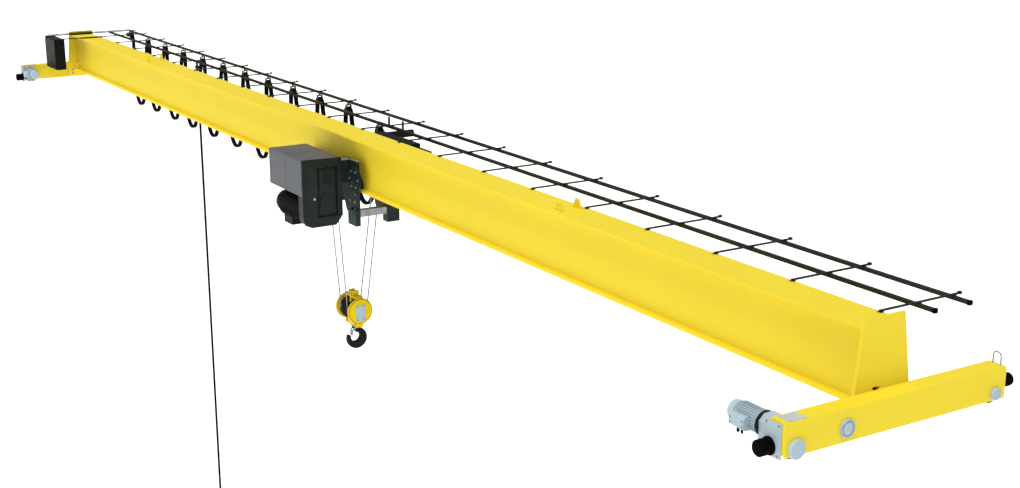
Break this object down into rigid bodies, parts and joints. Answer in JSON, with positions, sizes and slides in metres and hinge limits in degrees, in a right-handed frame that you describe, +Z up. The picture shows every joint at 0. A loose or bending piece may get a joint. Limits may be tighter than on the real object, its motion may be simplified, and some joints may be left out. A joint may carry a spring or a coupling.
{
  "type": "overhead bridge crane",
  "caption": "Single-girder overhead travelling crane with side end carriages, wire-rope hoist trolley, hook block, flat-cable supply and hanging push-button control.",
  "frame": {"origin": "plane of the runway rail heads, at mid-span, in the girder's centre plane", "axes": "+X along the girder toward the end shown nearest, +Y toward the cable rails, +Z up"},
  "size_m": [19.362, 2.378, 7.649],
  "materials": {
    "girder_yellow": "satin",
    "drive_grey": "satin",
    "anthracite": "satin",
    "cover_grey": "satin",
    "cabinet_black": "satin",
    "rail_steel": "matte",
    "galvanised": "matte",
    "black_rubber": "matte",
    "cable_black": "matte",
    "label_silver": "satin",
    "wheel_iron": "matte",
    "block_yellow": "satin",
    "hook_black": "matte",
    "rope_steel": "matte",
    "control_plastic": "matte"
  },
  "bodies": {
    "crane": {"girder_top_flange": "girder_yellow", "girder_webs": "girder_yellow", "girder_bottom_flange": "girder_yellow", "end_plates": "girder_yellow", "lifting_lugs": "girder_yellow", "trolley_end_stops": "girder_yellow", "carriage_beams": "girder_yellow", "carriage_caps": "drive_grey", "label_plates": "label_silver", "end_hoops": "galvanised", "buffers": "black_rubber", "drive_gearboxes": "drive_grey", "drive_motors": "drive_grey", "cabinet_body": "cabinet_black", "cabinet_door": "cabinet_black", "cable_arms": "rail_steel", "festoon_rail": "rail_steel", "pendant_rail": "rail_steel", "festoon_cable": "cable_black", "cable_clamps": "anthracite"},
    "trolley": {"trolley_front_frame": "anthracite", "trolley_rear_frame": "anthracite", "trolley_cross_tubes": "galvanised", "hoist_cover": "cover_grey", "gear_housing": "anthracite", "hoist_motor": "cabinet_black", "rope_drum": "wheel_iron", "travel_motor": "anthracite", "rear_box": "cabinet_black", "tow_arm": "cabinet_black", "hoist_ropes": "rope_steel"},
    "crane_wheel_drive_near_body": {"crane_wheel_drive_near": "wheel_iron"},
    "crane_wheel_drive_far_body": {"crane_wheel_drive_far": "wheel_iron"},
    "crane_wheel_idle_near_body": {"crane_wheel_idle_near": "wheel_iron"},
    "crane_wheel_idle_far_body": {"crane_wheel_idle_far": "wheel_iron"},
    "trolley_wheel_front_near_body": {"trolley_wheel_front_near": "wheel_iron"},
    "trolley_wheel_front_far_body": {"trolley_wheel_front_far": "wheel_iron"},
    "trolley_wheel_rear_near_body": {"trolley_wheel_rear_near": "wheel_iron"},
    "trolley_wheel_rear_far_body": {"trolley_wheel_rear_far": "wheel_iron"},
    "hook_block": {"block_covers": "block_yellow", "block_frame": "block_yellow", "block_sheaves": "wheel_iron"},
    "hook_body": {"hook": "hook_black"},
    "latch_body": {"hook_latch": "galvanised"},
    "pendant": {"pendant_trolley": "anthracite", "pendant_cable": "cable_black", "pendant_control": "control_plastic"},
    "festoon_carrier_01_body": {"festoon_carrier_01": "anthracite"},
    "festoon_carrier_02_body": {"festoon_carrier_02": "anthracite"},
    "festoon_carrier_03_body": {"festoon_carrier_03": "anthracite"},
    "festoon_carrier_04_body": {"festoon_carrier_04": "anthracite"},
    "festoon_carrier_05_body": {"festoon_carrier_05": "anthracite"},
    "festoon_carrier_06_body": {"festoon_carrier_06": "anthracite"},
    "festoon_carrier_07_body": {"festoon_carrier_07": "anthracite"},
    "festoon_carrier_08_body": {"festoon_carrier_08": "anthracite"},
    "festoon_carrier_09_body": {"festoon_carrier_09": "anthracite"},
    "festoon_carrier_10_body": {"festoon_carrier_10": "anthracite"},
    "festoon_carrier_11_body": {"festoon_carrier_11": "anthracite"}
  },
  "joints": [
    {"name": "trolley_travel", "type": "slide", "parent": "crane", "child": "trolley", "axis": [1, 0, 0], "range_m": [-6.1, 7.3], "deforming": ["festoon_cable"]},
    {"name": "crane_wheel_drive_near_spin", "type": "hinge", "parent": "crane", "child": "crane_wheel_drive_near_body", "pos_m": [9.575, -0.923, 0.078], "axis": [1, 0, 0], "continuous": true},
    {"name": "crane_wheel_drive_far_spin", "type": "hinge", "parent": "crane", "child": "crane_wheel_drive_far_body", "pos_m": [-9.575, -0.923, 0.078], "axis": [1, 0, 0], "continuous": true},
    {"name": "crane_wheel_idle_near_spin", "type": "hinge", "parent": "crane", "child": "crane_wheel_idle_near_body", "pos_m": [9.575, 1.007, 0.078], "axis": [1, 0, 0], "continuous": true},
    {"name": "crane_wheel_idle_far_spin", "type": "hinge", "parent": "crane", "child": "crane_wheel_idle_far_body", "pos_m": [-9.575, 1.007, 0.078], "axis": [1, 0, 0], "continuous": true},
    {"name": "trolley_wheel_front_near_spin", "type": "hinge", "parent": "trolley", "child": "trolley_wheel_front_near_body", "pos_m": [1.568, -0.125, 0.225], "axis": [0, 1, 0], "continuous": true},
    {"name": "trolley_wheel_front_far_spin", "type": "hinge", "parent": "trolley", "child": "trolley_wheel_front_far_body", "pos_m": [0.448, -0.125, 0.225], "axis": [0, 1, 0], "continuous": true},
    {"name": "trolley_wheel_rear_near_spin", "type": "hinge", "parent": "trolley", "child": "trolley_wheel_rear_near_body", "pos_m": [1.568, 0.125, 0.225], "axis": [0, 1, 0], "continuous": true},
    {"name": "trolley_wheel_rear_far_spin", "type": "hinge", "parent": "trolley", "child": "trolley_wheel_rear_far_body", "pos_m": [0.448, 0.125, 0.225], "axis": [0, 1, 0], "continuous": true},
    {"name": "hook_lift", "type": "slide", "parent": "trolley", "child": "hook_block", "axis": [0, 0, 1], "range_m": [-4.3, 0.7], "deforming": ["hoist_ropes"]},
    {"name": "hook_swivel", "type": "hinge", "parent": "hook_block", "child": "hook_body", "pos_m": [1.097, 0, -1.561], "axis": [0, 0, 1], "continuous": true},
    {"name": "latch_hinge", "type": "hinge", "parent": "hook_body", "child": "latch_body", "pos_m": [1.097, -0.006, -1.643], "axis": [1, 0, 0], "range_deg": [0, 25], "stiffness_Nm_per_rad": 2, "springref_deg": -5.73},
    {"name": "pendant_travel", "type": "slide", "parent": "crane", "child": "pendant", "axis": [1, 0, 0], "range_m": [-3.4, 6]},
    {"name": "festoon_slide_01", "type": "slide", "parent": "crane", "child": "festoon_carrier_01_body", "axis": [1, 0, 0], "range_m": [-0.556, 0.665]},
    {"name": "festoon_slide_02", "type": "slide", "parent": "festoon_carrier_01_body", "child": "festoon_carrier_02_body", "axis": [1, 0, 0], "range_m": [-0.556, 0.665]},
    {"name": "festoon_slide_03", "type": "slide", "parent": "festoon_carrier_02_body", "child": "festoon_carrier_03_body", "axis": [1, 0, 0], "range_m": [-0.556, 0.665]},
    {"name": "festoon_slide_04", "type": "slide", "parent": "festoon_carrier_03_body", "child": "festoon_carrier_04_body", "axis": [1, 0, 0], "range_m": [-0.556, 0.665]},
    {"name": "festoon_slide_05", "type": "slide", "parent": "festoon_carrier_04_body", "child": "festoon_carrier_05_body", "axis": [1, 0, 0], "range_m": [-0.556, 0.665]},
    {"name": "festoon_slide_06", "type": "slide", "parent": "festoon_carrier_05_body", "child": "festoon_carrier_06_body", "axis": [1, 0, 0], "range_m": [-0.556, 0.665]},
    {"name": "festoon_slide_07", "type": "slide", "parent": "festoon_carrier_06_body", "child": "festoon_carrier_07_body", "axis": [1, 0, 0], "range_m": [-0.556, 0.665]},
    {"name": "festoon_slide_08", "type": "slide", "parent": "festoon_carrier_07_body", "child": "festoon_carrier_08_body", "axis": [1, 0, 0], "range_m": [-0.556, 0.665]},
    {"name": "festoon_slide_09", "type": "slide", "parent": "festoon_carrier_08_body", "child": "festoon_carrier_09_body", "axis": [1, 0, 0], "range_m": [-0.556, 0.665]},
    {"name": "festoon_slide_10", "type": "slide", "parent": "festoon_carrier_09_body", "child": "festoon_carrier_10_body", "axis": [1, 0, 0], "range_m": [-0.556, 0.665]},
    {"name": "festoon_slide_11", "type": "slide", "parent": "festoon_carrier_10_body", "child": "festoon_carrier_11_body", "axis": [1, 0, 0], "range_m": [-0.556, 0.665]}
  ],
  "couplings": [
    {"joint": "crane_wheel_drive_far_spin", "follows": "crane_wheel_drive_near_spin", "ratio": 1},
    {"joint": "crane_wheel_idle_near_spin", "follows": "crane_wheel_drive_near_spin", "ratio": 1},
    {"joint": "crane_wheel_idle_far_spin", "follows": "crane_wheel_drive_near_spin", "ratio": 1},
    {"joint": "trolley_wheel_front_near_spin", "follows": "trolley_travel", "rad_per_m": 16.129},
    {"joint": "trolley_wheel_front_far_spin", "follows": "trolley_travel", "rad_per_m": 16.129},
    {"joint": "trolley_wheel_rear_near_spin", "follows": "trolley_travel", "rad_per_m": 16.129},
    {"joint": "trolley_wheel_rear_far_spin", "follows": "trolley_travel", "rad_per_m": 16.129},
    {"joint": "festoon_slide_01", "follows": "trolley_travel", "ratio": 0.090909},
    {"joint": "festoon_slide_02", "follows": "trolley_travel", "ratio": 0.090909},
    {"joint": "festoon_slide_03", "follows": "trolley_travel", "ratio": 0.090909},
    {"joint": "festoon_slide_04", "follows": "trolley_travel", "ratio": 0.090909},
    {"joint": "festoon_slide_05", "follows": "trolley_travel", "ratio": 0.090909},
    {"joint": "festoon_slide_06", "follows": "trolley_travel", "ratio": 0.090909},
    {"joint": "festoon_slide_07", "follows": "trolley_travel", "ratio": 0.090909},
    {"joint": "festoon_slide_08", "follows": "trolley_travel", "ratio": 0.090909},
    {"joint": "festoon_slide_09", "follows": "trolley_travel", "ratio": 0.090909},
    {"joint": "festoon_slide_10", "follows": "trolley_travel", "ratio": 0.090909},
    {"joint": "festoon_slide_11", "follows": "trolley_travel", "ratio": 0.090909}
  ]
}
